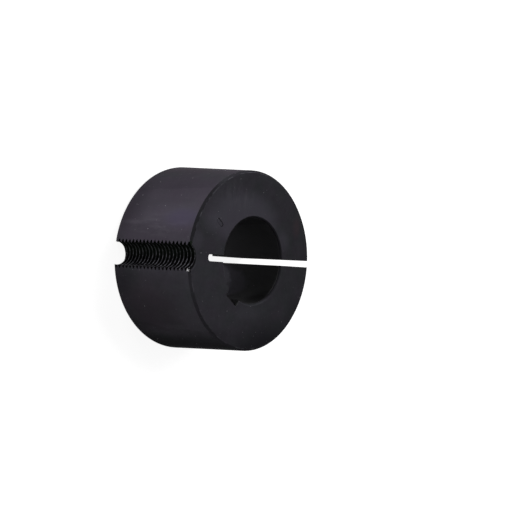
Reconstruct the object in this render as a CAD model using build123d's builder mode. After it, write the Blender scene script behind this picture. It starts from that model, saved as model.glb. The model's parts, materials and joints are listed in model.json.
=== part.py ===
# Taper bush for clamping a pulley or sprocket hub onto a shaft.
#
# One turned, sawn and drilled piece. It stands on its large end: the bore axis is Z, the
# large end lies on z = 0 and the small end is up. The slit that lets it close opens at +X.
# All sizes are in millimetres and all angles in degrees.

from build123d import *
from math import ceil, radians, tan
import os

# Outer cone
length = 44.5
large_end_diameter = 85.7
taper_per_side = 4.0
large_end_chamfer = 1.2
small_end_chamfer = 1.0

# Bore, keyway and saw cut
bore_diameter = 38.0
bore_chamfer = 0.85
keyway_width = 8.5
keyway_depth = 3.3  # from the bore wall to the keyway floor
keyway_angle = 233.0
slit_width = 3.0
slit_offset = 0.15  # the saw ran a little to one side of the bore axis
relief_reach = 28.8  # from the bore axis to the closed end of the saw cut
relief_corner = 1.2

# Screw holes: half holes that the hub completes, all on one circle
screw_circle_diameter = 82.55
jack_hole_angle = 180.0
seat_hole_angle = 60.0  # each side of the slit

# Threaded half hole for the removal screw, 1/2 inch x 12 threads per inch, 55 degree form
thread_major_diameter = 12.7
thread_pitch = 25.4 / 12
thread_angle = 55.0
thread_start = 0.6  # height of the first groove at the wall nearest the bore
thread_mouth = 0.4  # edges broken at both ends
groove_arc = 230.0  # part of each turn that is cut, more than the half hole shows

# Plain oblong punched into the small end
mark_length = 4.2
mark_width = 1.7
mark_depth = 0.2
mark_position = (-22.9, 15.2)
mark_angle = -39.0

# Plain half holes that the clamping screws bear in, blind, with a drilled bottom
seat_hole_diameter = 13.2
seat_hole_depth = 28.0
drill_point_angle = 118.0

# Worked out from the dimensions above
taper_slope = tan(radians(taper_per_side))
large_radius = large_end_diameter / 2
small_radius = large_radius - length * taper_slope
bore_radius = bore_diameter / 2
screw_circle_radius = screw_circle_diameter / 2
thread_depth = 0.640327 * thread_pitch
thread_major_radius = thread_major_diameter / 2
thread_minor_radius = thread_major_radius - thread_depth
seat_hole_radius = seat_hole_diameter / 2
seat_point_height = seat_hole_radius / tan(radians(drill_point_angle / 2))

# One groove of the thread: a helical arc with the 55 degree section and a flat root. It
# starts a little inside the tapping hole, so that it breaks cleanly through its wall.
groove_overrun = 0.2
groove_root = thread_pitch / 12
groove_mouth = groove_root + (thread_depth + groove_overrun) * tan(radians(thread_angle / 2))
groove_inner_radius = thread_minor_radius - groove_overrun

with BuildPart() as thread_groove:
    with BuildLine() as groove_path:
        Helix(thread_pitch, thread_pitch * groove_arc / 360, thread_minor_radius)
    with BuildSketch(Plane.XZ):
        with BuildLine():
            Polyline(
                (groove_inner_radius, -groove_mouth),
                (thread_major_radius, -groove_root),
                (thread_major_radius, groove_root),
                (groove_inner_radius, groove_mouth),
                close=True,
            )
        make_face()
    sweep(path=groove_path.line, is_frenet=True)

with BuildPart() as taper_bush:
    # Turned blank: bore, both faces, the cone and its edge chamfers in one profile
    with BuildSketch(Plane.XZ):
        with BuildLine():
            Polyline(
                (bore_radius + bore_chamfer, 0),
                (large_radius - large_end_chamfer, 0),
                (large_radius - large_end_chamfer * taper_slope, large_end_chamfer),
                (small_radius + small_end_chamfer * taper_slope, length - small_end_chamfer),
                (small_radius - small_end_chamfer, length),
                (bore_radius + bore_chamfer, length),
                (bore_radius, length - bore_chamfer),
                (bore_radius, bore_chamfer),
                close=True,
            )
        make_face()
    revolve(axis=Axis.Z)

    # Saw cut: right through the wall at +X, and part way into the wall opposite
    with BuildSketch(Plane.XY):
        with Locations((-relief_reach, slit_offset)):
            Rectangle(relief_reach + 2 * large_radius, slit_width, align=(Align.MIN, Align.CENTER))
        closed_end = vertices().group_by(Axis.X)[0]
        fillet(closed_end, relief_corner)
    extrude(amount=length, mode=Mode.SUBTRACT)

    # Keyway along the whole bore
    with BuildSketch(Plane.XY.rotated((0, 0, keyway_angle))):
        Rectangle(bore_radius + keyway_depth, keyway_width, align=(Align.MIN, Align.CENTER))
    extrude(amount=length, mode=Mode.SUBTRACT)

    # Plain half holes, drilled from the large end
    with PolarLocations(screw_circle_radius, 2, -seat_hole_angle, 2 * seat_hole_angle, endpoint=True):
        Cylinder(
            seat_hole_radius,
            seat_hole_depth,
            align=(Align.CENTER, Align.CENTER, Align.MIN),
            mode=Mode.SUBTRACT,
        )
        with Locations((0, 0, seat_hole_depth)):
            Cone(
                seat_hole_radius,
                0,
                seat_point_height,
                align=(Align.CENTER, Align.CENTER, Align.MIN),
                mode=Mode.SUBTRACT,
            )

    # Threaded half hole, right through: tapping hole, broken edges, then groove by groove
    with PolarLocations(screw_circle_radius, 1, jack_hole_angle):
        Cylinder(
            thread_minor_radius,
            length,
            align=(Align.CENTER, Align.CENTER, Align.MIN),
            mode=Mode.SUBTRACT,
        )
        Cone(
            thread_minor_radius + thread_mouth,
            thread_minor_radius,
            thread_mouth,
            align=(Align.CENTER, Align.CENTER, Align.MIN),
            mode=Mode.SUBTRACT,
        )
        with Locations((0, 0, length)):
            Cone(
                thread_minor_radius,
                thread_minor_radius + thread_mouth,
                thread_mouth,
                align=(Align.CENTER, Align.CENTER, Align.MAX),
                mode=Mode.SUBTRACT,
            )
        turns = ceil(length / thread_pitch) + 2
        first_height = thread_start - thread_pitch * (1 + groove_arc / 720)
        groove_places = [
            Location((0, 0, first_height + turn * thread_pitch), (0, 0, 180 - groove_arc / 2))
            for turn in range(turns)
        ]
        with Locations(groove_places):
            add(thread_groove.part, mode=Mode.SUBTRACT)

    # Punched mark
    with BuildSketch(Plane.XY.offset(length)):
        with Locations(Location(mark_position, mark_angle)):
            SlotOverall(mark_length, mark_width)
    extrude(amount=-mark_depth, mode=Mode.SUBTRACT)

taper_bush.part.label = "taper_bush"

os.makedirs("parts", exist_ok=True)
export_step(taper_bush.part, "parts/taper_bush.step")
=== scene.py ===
# Looks of the taper bush: one turned, sawn and tapped piece of iron with a black phosphate
# finish, standing on its large end.

import json
from math import cos, pi, radians, sin, tan

import bpy
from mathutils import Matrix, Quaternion, Vector


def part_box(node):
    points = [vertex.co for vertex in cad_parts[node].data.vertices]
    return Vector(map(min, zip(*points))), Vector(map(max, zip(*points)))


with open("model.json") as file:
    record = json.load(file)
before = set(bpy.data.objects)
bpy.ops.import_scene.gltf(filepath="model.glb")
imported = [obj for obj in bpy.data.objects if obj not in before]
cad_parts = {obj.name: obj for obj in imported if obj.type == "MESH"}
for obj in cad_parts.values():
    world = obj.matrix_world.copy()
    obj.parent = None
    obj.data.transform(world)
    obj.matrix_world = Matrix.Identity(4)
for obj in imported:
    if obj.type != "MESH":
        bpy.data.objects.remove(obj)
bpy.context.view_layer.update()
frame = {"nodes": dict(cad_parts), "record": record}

MM = 0.001
bush_low, bush_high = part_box("taper_bush")
bush_centre = (bush_low + bush_high) / 2

# Sizes and places on the bush that the finish follows, in millimetres
mounts = {mount["name"]: mount for mount in frame["record"]["mounts"]}
length = (bush_high.z - bush_low.z) / MM
taper = tan(radians(4.0))
large_radius = 85.7 / 2
small_radius = large_radius - length * taper
bore_radius = mounts["bore"]["dims"]["r_mm"]
jack_hole = [value / MM for value in mounts["removal_screw_hole"]["pos_m"][:2]]
thread_radius = mounts["removal_screw_hole"]["dims"]["r_mm"]
thread_pitch = 25.4 / 12
crest_radius = thread_radius - 0.64 * thread_pitch
chamfer_width = 1.0
bore_chamfer_width = 0.8
bore_reach = bore_radius + 5.0  # takes in the keyway
mark_place = (-22.9, 15.2, 0)
mark_angle = radians(39)
mark_half_length, mark_radius = 1.25, 0.85


def linear(code):
    """Linear RGBA of an sRGB hex colour such as "3a3a3c"."""
    channels = [int(code[i : i + 2], 16) / 255 for i in (0, 2, 4)]
    linears = [c / 12.92 if c <= 0.04045 else ((c + 0.055) / 1.055) ** 2.4 for c in channels]
    return (*linears, 1.0)


def add(tree, kind, *values, **named):
    """Adds a node. Values fill its inputs in order; names are its settings or its inputs."""
    node = tree.nodes.new("ShaderNode" + kind)
    inputs = dict(enumerate(values))
    for name, value in named.items():
        if hasattr(node, name):
            setattr(node, name, value)
        else:
            inputs[name.replace("_", " ")] = value
    for key, value in inputs.items():
        if isinstance(value, bpy.types.Node):
            value = value.outputs[0]
        if isinstance(value, bpy.types.NodeSocket):
            tree.links.new(value, node.inputs[key])
        elif value is not None:
            node.inputs[key].default_value = value
    return node


def new_tree(name):
    """An empty material and its node tree."""
    material = bpy.data.materials.new(name)
    material.use_nodes = True
    material.node_tree.nodes.clear()
    return material, material.node_tree


# ---------------------------------------------------------------- camera, floor and light


def place_camera():
    """A short telephoto view onto the small end, rolled so that the saw cut lies level."""
    target = bush_centre + Vector((30.0, 1.0, 0.0)) * MM
    distance = 399.8 * MM
    azimuth, elevation, roll = radians(180.9), radians(40.53), radians(92.66)
    away = Vector((cos(elevation) * cos(azimuth), cos(elevation) * sin(azimuth), sin(elevation)))
    data = bpy.data.cameras.new("camera")
    data.lens = 56.9
    data.clip_start = 0.01
    camera = bpy.data.objects.new("camera", data)
    bpy.context.scene.collection.objects.link(camera)
    camera.location = target + distance * away
    camera.rotation_mode = "QUATERNION"
    camera.rotation_quaternion = (-away).to_track_quat("-Z", "Y") @ Quaternion((0, 0, 1), roll)
    bpy.context.scene.camera = camera


def hang_softbox(name, azimuth, elevation, distance, width, height, power):
    """A softbox that faces the bush: angles in degrees, sizes in metres, power in watts."""
    data = bpy.data.lights.new(name, "AREA")
    data.shape = "RECTANGLE"
    data.size, data.size_y = width, height
    data.energy = power
    lamp = bpy.data.objects.new(name, data)
    bpy.context.scene.collection.objects.link(lamp)
    a, e = radians(azimuth), radians(elevation)
    toward = Vector((cos(e) * cos(a), cos(e) * sin(a), sin(e)))
    lamp.location = bush_centre + distance * toward
    lamp.rotation_mode = "QUATERNION"
    lamp.rotation_quaternion = (-toward).to_track_quat("-Z", "Y")


def background_glow(tree, low, high):
    """Strength low for soft light, and high wherever the background is seen or mirrored."""
    rays = add(tree, "LightPath").outputs
    seen = add(tree, "Math", rays["Is Camera Ray"], rays["Is Glossy Ray"], operation="MAXIMUM")
    seen = add(tree, "Math", seen, rays["Is Transmission Ray"], operation="MAXIMUM")
    return add(tree, "MapRange", seen, 0.0, 1.0, low, high)


def light_studio():
    """Low strips round the bush, one softbox overhead, and a faint fill all round."""
    hang_softbox("side_strip", 120, 2.5, 0.7, 0.3, 0.05, 2.7)
    hang_softbox("front_strip", 160, 2.5, 0.7, 0.3, 0.05, 1.0)
    hang_softbox("back_strip", 350, 2.5, 0.7, 0.3, 0.05, 1.8)
    hang_softbox("far_strip", 50, 2.5, 0.7, 0.3, 0.05, 1.0)
    hang_softbox("overhead_softbox", 45, 63, 0.7, 0.3, 0.3, 1.85)
    world = bpy.data.worlds.new("studio")
    bpy.context.scene.world = world
    world.use_nodes = True
    tree = world.node_tree
    tree.nodes.clear()
    background = add(tree, "Background", (1, 1, 1, 1), background_glow(tree, 0.05, 0.94))
    add(tree, "OutputWorld", background)


def lay_floor():
    reach = 3.0
    corners = [(-reach, -reach, 0), (reach, -reach, 0), (reach, reach, 0), (-reach, reach, 0)]
    mesh = bpy.data.meshes.new("floor")
    mesh.from_pydata(corners, [], [(0, 1, 2, 3)])
    floor = bpy.data.objects.new("floor", mesh)
    bpy.context.scene.collection.objects.link(floor)
    floor.location.z = bush_low.z
    material, tree = new_tree("white_card")
    card = add(tree, "BsdfDiffuse", linear("c8c8c8"))
    glow = add(tree, "Emission", (1, 1, 1, 1), background_glow(tree, 0.22, 0.9))
    add(tree, "OutputMaterial", add(tree, "AddShader", card, glow))
    mesh.materials.append(material)


# ---------------------------------------------------------------- finish


def patch(tree, vector, centre, spread, edge=0.0):
    """Mask of an oval patch: 1 out to edge of its spread, then falling to 0."""
    offset = add(tree, "VectorMath", vector, centre, operation="SUBTRACT")
    offset = add(tree, "VectorMath", offset, spread, operation="DIVIDE")
    reach = add(tree, "VectorMath", offset, operation="LENGTH").outputs["Value"]
    return add(tree, "MapRange", reach, 1.0, edge, interpolation_type="SMOOTHSTEP")


def find_zones(tree):
    """Places on the bush, and masks of the surfaces that were cut or wear differently."""
    coords = add(tree, "TexCoord").outputs
    place = add(tree, "VectorMath", coords["Object"], Scale=1 / MM, operation="SCALE")
    at = add(tree, "SeparateXYZ", place).outputs
    flat = add(tree, "VectorMath", place, (1, 1, 0), operation="MULTIPLY")
    radius = add(tree, "VectorMath", flat, operation="LENGTH").outputs["Value"]
    angle = add(tree, "Math", at["Y"], at["X"], operation="ARCTAN2")
    hole_radius = add(tree, "VectorMath", flat, (*jack_hole, 0), operation="DISTANCE")
    hole_radius = hole_radius.outputs["Value"]
    facing = add(tree, "SeparateXYZ", coords["Normal"]).outputs["Z"]
    upright = add(tree, "Math", facing, operation="ABSOLUTE")

    # The thread lies round its own axis, under the cone and below the small end
    cone_radius = add(tree, "MapRange", at["Z"], 0.0, length, large_radius, small_radius)
    below_cone = add(tree, "Math", cone_radius, radius, operation="SUBTRACT")
    within_cone = add(tree, "MapRange", below_cone, 0.04, 0.12)
    within_face = add(tree, "MapRange", at["Z"], length - 0.05, length - 0.3)
    near_hole = add(tree, "MapRange", hole_radius, thread_radius + 0.6, thread_radius + 0.4)
    thread = add(tree, "Math", near_hole, within_cone, operation="MULTIPLY")
    thread = add(tree, "Math", thread, within_face, operation="MULTIPLY")
    at_crest = add(tree, "MapRange", hole_radius, crest_radius + 0.14, crest_radius + 0.04)

    # Walls, faces and chamfers are told apart by their slope, the bore by its radius
    wall = add(tree, "MapRange", upright, 0.3, 0.2)
    face = add(tree, "MapRange", facing, 0.9, 0.95)
    inner = add(tree, "MapRange", radius, bore_reach + 0.2, bore_reach)
    outer = add(tree, "Math", 1.0, inner, operation="SUBTRACT")
    outside_hole = add(tree, "Math", 1.0, near_hole, operation="SUBTRACT")
    sloping = add(tree, "MapRange", upright, 0.3, 0.45)
    not_flat = add(tree, "MapRange", upright, 0.95, 0.85)
    chamfer = add(tree, "Math", sloping, not_flat, operation="MULTIPLY")
    outer_chamfer = add(tree, "Math", chamfer, outer, operation="MULTIPLY")

    # The bore's chamfer is painted shade: darkest at its inner edge, less so on the -Y side
    bore_chamfer_edge = bore_radius + bore_chamfer_width
    bore_chamfer = add(tree, "MapRange", radius, bore_radius, bore_chamfer_edge, 0.9, 0.3)
    less_shade_toward_minus_y = add(tree, "MapRange", at["Y"], -15.0, -18.0, 0.0, 0.5)
    bore_chamfer = add(tree, "Math", bore_chamfer, less_shade_toward_minus_y, operation="SUBTRACT", use_clamp=True)
    bore_chamfer = add(tree, "Math", bore_chamfer, inner, operation="MULTIPLY")

    # A thin line on the small end, just inside its chamfer
    face_radius = small_radius - chamfer_width + 0.05
    face_edge = add(tree, "Math", radius, face_radius, 0.16, operation="COMPARE")
    at_top = add(tree, "MapRange", at["Z"], length - 0.6, length - 0.5)
    face_edge = add(tree, "Math", face_edge, at_top, operation="MULTIPLY")

    # The cone unrolled flat, so that patches on it keep their size
    arc = add(tree, "Math", angle, small_radius, operation="MULTIPLY")
    wrapped = add(tree, "CombineXYZ", arc, at["Z"], 0.0)

    # How far the turning tool had gone: inward on the faces, along Z on the cone and bore
    travel = add(tree, "Mix", add(tree, "MapRange", upright, 0.9, 0.95), at["Z"], radius)

    # A burr at the mouth of the threaded hole, broken off to bare metal
    ragged = add(tree, "TexNoise", place, Scale=1 / 0.4, Detail=2.0)
    ragged = add(tree, "MapRange", ragged, 0.46, 0.54)
    burr = patch(tree, place, (-40.2, -5.6, 43.8), (1.7, 1.0, 1.4), 0.6)
    burr = add(tree, "Math", burr, ragged, operation="MULTIPLY")
    return {
        "place": place,
        "y": at["Y"],
        "z": at["Z"],
        "flat": flat,
        "wrapped": wrapped,
        "face": face,
        "cone": add(tree, "Math", wall, outer, operation="MULTIPLY"),
        "bore": add(tree, "Math", wall, inner, operation="MULTIPLY"),
        "thread": thread,
        "crest": add(tree, "Math", thread, at_crest, operation="MULTIPLY"),
        "bore_chamfer": add(tree, "Math", chamfer, bore_chamfer, operation="MULTIPLY"),
        "chamfer": add(tree, "Math", outer_chamfer, outside_hole, operation="MULTIPLY"),
        "face_edge": add(tree, "Math", face_edge, outside_hole, operation="MULTIPLY"),
        "travel": travel,
        "burr": burr,
    }


def round_to(degrees, height):
    """Where an angle and a height lie on the cone, unrolled flat."""
    turned = (degrees + 180) % 360 - 180
    return (radians(turned) * small_radius, height, 0.0)


def colour_coat(tree, zones):
    """Nearly black, cloudy and dusty, with paler, darker and more violet places and painted
    light and shade.
    """
    place = zones["place"]

    # The coat is paler toward the -X side of the small end and darker toward the +X side of the
    # large end
    along = add(tree, "VectorMath", place, (-0.58, 0.0, 0.82), operation="DOT_PRODUCT")
    along = along.outputs["Value"]
    cloud = add(tree, "TexNoise", place, Scale=1 / 14, Detail=3.0, Roughness=0.55)
    cloud = add(tree, "MapRange", cloud, 0.3, 0.7, -8.0, 8.0)
    along = add(tree, "Math", along, cloud, operation="ADD")
    coat = add(tree, "ValToRGB", add(tree, "MapRange", along, -23.0, 60.0))
    stops = coat.color_ramp.elements
    stops[0].color = linear("2f2f32")
    stops[1].color = linear("424147")

    # Mottling of 5 mm and of 1.5 mm, and a slow drift between rose and green
    for size, swing in ((5.0, 0.07), (1.5, 0.05)):
        mottle = add(tree, "TexNoise", place, Scale=1 / size, Detail=3.0, Roughness=0.6)
        mottle = add(tree, "MapRange", mottle, 0.3, 0.7, 1 - swing, 1 + swing)
        coat = add(tree, "VectorMath", coat, Scale=mottle, operation="SCALE")
    drift = add(tree, "TexNoise", place, Scale=1 / 9, Detail=2.0)
    tints = add(tree, "ValToRGB", drift)
    stops = tints.color_ramp.elements
    stops[0].position, stops[0].color = 0.36, linear("f9fef9")
    stops[1].position, stops[1].color = 0.64, linear("fff9fd")
    colour = add(tree, "MixRGB", 1.0, coat, tints, blend_type="MULTIPLY")

    # Paler, darker and more violet patches; places and spreads are in millimetres. The dark
    # patches on the -Y half of the small end and at 123 and 256 degrees round the cone are
    # painted shade.
    for zone, vector, centre, spread, edge, share, code in (
        ("face", "flat", (-8, 18, 0), (28, 15, 1), 0.45, 0.40, "5f5b67"),
        ("face", "flat", (-27, 15, 0), (7, 6, 1), 0.2, 0.20, "5f5b67"),
        ("face", "flat", (-36, 7, 0), (5, 6, 1), 0.2, 0.20, "5f5b67"),
        ("face", "flat", (19, 10, 0), (7, 7, 1), 0.2, 0.22, "5f5b67"),
        ("face", "flat", (-3, -23, 0), (16, 5, 1), 0.2, 0.12, "5f5b67"),
        ("face", "flat", (29, 17, 0), (4, 7, 1), 0.2, 0.40, "4a3d41"),
        # Painted shade: the small end darker toward -Y
        ("face", "flat", (14, -46, 0), (44, 24, 1), 0.3, 0.80, "1b1b1e"),
        ("face", "flat", (32, -24, 0), (14, 12, 1), 0.2, 0.25, "1b1b1e"),
        ("face", "flat", (-22, -34, 0), (12, 8, 1), 0.2, 0.30, "1b1b1e"),
        ("cone", "wrapped", round_to(148, 22), (26, 40, 1), 0.6, 0.45, "433b47"),
        ("cone", "wrapped", round_to(214, 18), (18, 26, 1), 0.3, 0.45, "3a3239"),
        ("cone", "wrapped", round_to(156, 32), (9, 26, 1), 0.2, 0.18, "5f5b67"),
        ("cone", "wrapped", round_to(160.5, 9), (1.6, 10, 1), 0.1, 0.10, "77747d"),
        ("cone", "wrapped", round_to(156.5, 36), (6, 13, 1), 0.3, 0.30, "46405a"),
        # Painted shade on the cone's +Y side
        ("cone", "wrapped", round_to(123, 22), (16, 44, 1), 0.3, 0.26, "1b1b1e"),
        ("cone", "wrapped", round_to(148, 1), (19, 15, 1), 0.2, 0.42, "1b1b1e"),
        ("cone", "wrapped", round_to(194, 2), (12, 18, 1), 0.2, 0.45, "1b1b1e"),
        ("cone", "wrapped", round_to(193, 28), (5, 34, 1), 0.2, 0.14, "1b1b1e"),
        ("cone", "wrapped", round_to(219, 40), (11, 16, 1), 0.2, 0.20, "5f5b63"),
        ("cone", "wrapped", round_to(232, 22), (6, 34, 1), 0.2, 0.18, "5f5b63"),
        # Painted shade on the cone's -Y side
        ("cone", "wrapped", round_to(256, 22), (17, 70, 1), 0.3, 0.60, "161618"),
        ("cone", "wrapped", round_to(106, 22), (10, 60, 1), 0.4, 0.35, "392f3a"),
    ):
        amount = patch(tree, zones[vector], centre, spread, edge)
        amount = add(tree, "Math", amount, share, operation="MULTIPLY")
        amount = add(tree, "Math", amount, zones[zone], operation="MULTIPLY")
        colour = add(tree, "MixRGB", amount, colour, linear(code))

    # Streaks where a cloth wiped along the cone and across the face
    for zone, vector, stretch, centre, spread, share in (
        ("cone", "wrapped", (1 / 2.0, 1 / 12, 0), round_to(162, 24), (8, 22, 1), 0.22),
        ("face", "flat", (1 / 1.8, 1 / 8, 0), (-12, 27, 0), (15, 10, 1), 0.22),
    ):
        streak = add(tree, "VectorMath", zones[vector], stretch, operation="MULTIPLY")
        streak = add(tree, "TexNoise", streak, Scale=1.0, Detail=3.0, Roughness=0.6)
        streak = add(tree, "MapRange", streak, 0.45, 0.75, 0.0, share)
        streak = add(tree, "Math", streak, zones[zone], operation="MULTIPLY")
        wiped = patch(tree, zones[vector], centre, spread)
        streak = add(tree, "Math", streak, wiped, operation="MULTIPLY")
        colour = add(tree, "MixRGB", streak, colour, linear("77757c"))

    # Dust: pale specks up to half a millimetre across
    cells = add(tree, "TexVoronoi", place, Scale=1 / 2.2).outputs
    chance = add(tree, "SeparateColor", cells["Color"]).outputs
    speck_size = add(tree, "MapRange", chance[1], 0.0, 1.0, 0.03, 0.11)
    speck = add(tree, "Math", cells["Distance"], speck_size, operation="LESS_THAN")
    kept = add(tree, "MapRange", chance[0], 0.66, 1.0, 0.15, 0.8)
    speck = add(tree, "Math", speck, kept, operation="MULTIPLY")

    # Paler crests in broken lines: painted glints, and the coat rubbed off by the screw in
    # places down to the metal
    crest_glint_and_wear = add(tree, "TexNoise", place, Scale=1 / 1.2, Detail=3.0, Roughness=0.7)
    crest_glint_and_wear = add(tree, "MapRange", crest_glint_and_wear, 0.42, 0.62, 0.15, 1.0)
    crest_glint_and_wear = add(tree, "Math", zones["crest"], crest_glint_and_wear, operation="MULTIPLY")

    # The thread is faintly green, with painted shade, heaviest on its lamp-lit -Y half
    thread_side_shade = add(tree, "MapRange", zones["y"], 2.5, -1.5)
    thread_side_shade = add(tree, "Math", zones["thread"], thread_side_shade, operation="MULTIPLY")

    # The bore is honed: its coat is thinner and greyer. A pale patch with a ragged edge at the
    # large end is painted light, and a dark one at the small end is painted shade.
    honed = add(tree, "MapRange", zones["z"], 12.0, length, 0.7, 1.0)
    honed = add(tree, "Math", zones["bore"], honed, operation="MULTIPLY")
    ragged = add(tree, "TexNoise", place, Scale=1 / 5, Detail=3.0)
    ragged = add(tree, "MapRange", ragged, 0.3, 0.7, -1.5, 1.5)
    ragged = add(tree, "CombineXYZ", ragged, ragged, 0.0)
    ragged = add(tree, "VectorMath", zones["wrapped"], ragged, operation="ADD")
    bore_light_core = patch(tree, ragged, round_to(322, -2), (27, 20, 1), 0.85)
    bore_light_core = add(tree, "Math", zones["bore"], bore_light_core, operation="MULTIPLY")
    bore_mouth_shade = patch(tree, zones["wrapped"], round_to(292, 44), (26, 14, 1), 0.4)
    bore_mouth_shade = add(tree, "Math", zones["bore"], bore_mouth_shade, operation="MULTIPLY")
    bore_light_fringe = patch(tree, ragged, round_to(322, 2), (25, 28, 1), 0.8)
    bore_light_fringe = add(tree, "Math", zones["bore"], bore_light_fringe, operation="MULTIPLY")

    # The edge chamfers are painted dark, most toward the threaded hole: painted shade. The
    # corner
    # above them has a broken pale line: painted glints, with the coat worn thin there.
    chamfer_shade = patch(tree, place, (-36, 14, 44), (26, 26, 60), 0.6)
    chamfer_shade = add(tree, "MapRange", chamfer_shade, 0.0, 1.0, 0.35, 0.75)
    chamfer = add(tree, "Math", zones["chamfer"], chamfer_shade, operation="MULTIPLY")
    edge_glint_and_wear = add(tree, "TexNoise", place, Scale=1 / 3.5, Detail=2.0)
    edge_glint_and_wear = add(tree, "MapRange", edge_glint_and_wear, 0.45, 0.65)
    edge_glint_and_wear = add(tree, "Math", zones["face_edge"], edge_glint_and_wear, operation="MULTIPLY")

    # A dark ring round the rim of the punched mark: painted shade
    across = add(
        tree,
        "VectorRotate",
        zones["flat"],
        mark_place,
        Angle=mark_angle,
        rotation_type="Z_AXIS",
    )
    across = add(tree, "VectorMath", across, mark_place, operation="SUBTRACT")
    middle = add(tree, "VectorMath", across, (mark_half_length, 0, 0), operation="MINIMUM")
    middle = add(tree, "VectorMath", middle, (-mark_half_length, 0, 0), operation="MAXIMUM")
    mark_rim_shade = add(tree, "VectorMath", across, middle, operation="DISTANCE").outputs["Value"]
    mark_rim_shade = add(tree, "Math", mark_rim_shade, mark_radius, 0.16, operation="COMPARE")
    at_top = add(tree, "MapRange", zones["z"], length - 1.0, length - 0.5)
    mark_rim_shade = add(tree, "Math", mark_rim_shade, at_top, operation="MULTIPLY")

    for mask, share, code in (
        # Painted shade on the edge chamfers
        (chamfer, 1.0, "19191b"),
        # Painted shade on the bore's chamfer
        (zones["bore_chamfer"], 1.0, "17171a"),
        # Painted glints with wear along the small end's edge
        (edge_glint_and_wear, 0.3, "77757e"),
        (honed, 0.9, "575759"),
        # Painted shade near the bore's mouth, then painted light deep in the bore
        (bore_mouth_shade, 0.65, "19191b"),
        (bore_light_fringe, 0.55, "6a6872"),
        (bore_light_core, 0.75, "84828c"),
        # Painted shade in the thread, darker still on its -Y half
        (zones["thread"], 1.0, "1e241e"),
        (thread_side_shade, 0.9, "0a080b"),
        # Painted glints with wear on the crests
        (crest_glint_and_wear, 0.82, "6a6a70"),
        # Painted shade round the rim of the mark
        (mark_rim_shade, 0.7, "121214"),
        (zones["burr"], 1.0, "c9c8ca"),
        (speck, 1.0, "a5a3a8"),
    ):
        amount = add(tree, "Math", mask, share, operation="MULTIPLY")
        colour = add(tree, "MixRGB", amount, colour, linear(code))
    return colour


def shape_coat(tree, zones):
    """Relief too fine to model: crystal grain and turning marks.

    The crystals are a few hundredths of a millimetre and the tool advanced 0.15 mm a turn, so
    both are drawn coarser than they are, to show.
    """
    grain = add(tree, "TexNoise", zones["place"], Scale=1 / 0.5, Detail=2.0, Roughness=0.6)
    turned = add(tree, "Math", zones["travel"], 2 * pi / 1.1, operation="MULTIPLY")
    turned = add(tree, "Math", turned, operation="SINE")
    marks = add(tree, "Bump", 0.25, 0.004 * MM, Height=turned)
    return add(tree, "Bump", 0.3, 0.02 * MM, Height=grain, Normal=marks)


def black_phosphate():
    """Machined iron with a black phosphate coat, wiped with oil.

    The coat is a felt of fine dark crystals: nearly black, matt, with a faint violet cast and
    a little of the iron's own shine. The crystals shade each other, so that it stays dark at
    a glancing view.
    """
    material, tree = new_tree("black_phosphated_iron")
    zones = find_zones(tree)
    oil = add(tree, "TexNoise", zones["place"], Scale=1 / 7, Detail=3.0)
    roughness = add(tree, "MapRange", oil, 0.3, 0.7, 0.5, 0.62)
    shader = add(
        tree,
        "BsdfPrincipled",
        Base_Color=colour_coat(tree, zones),
        Metallic=add(tree, "MapRange", zones["burr"], 0.0, 1.0, 0.1, 1.0),
        Roughness=roughness,
        Specular_IOR_Level=0.0,
        Specular_Tint=(0.03, 0.03, 0.03, 1.0),
        Sheen_Weight=0.05,
        Sheen_Roughness=0.3,
        Normal=shape_coat(tree, zones),
    )
    add(tree, "OutputMaterial", shader)
    return material


bpy.context.scene.view_settings.view_transform = "Standard"
place_camera()
light_studio()
lay_floor()
bush = frame["nodes"]["taper_bush"]
bush.data.materials.clear()
bush.data.materials.append(black_phosphate())
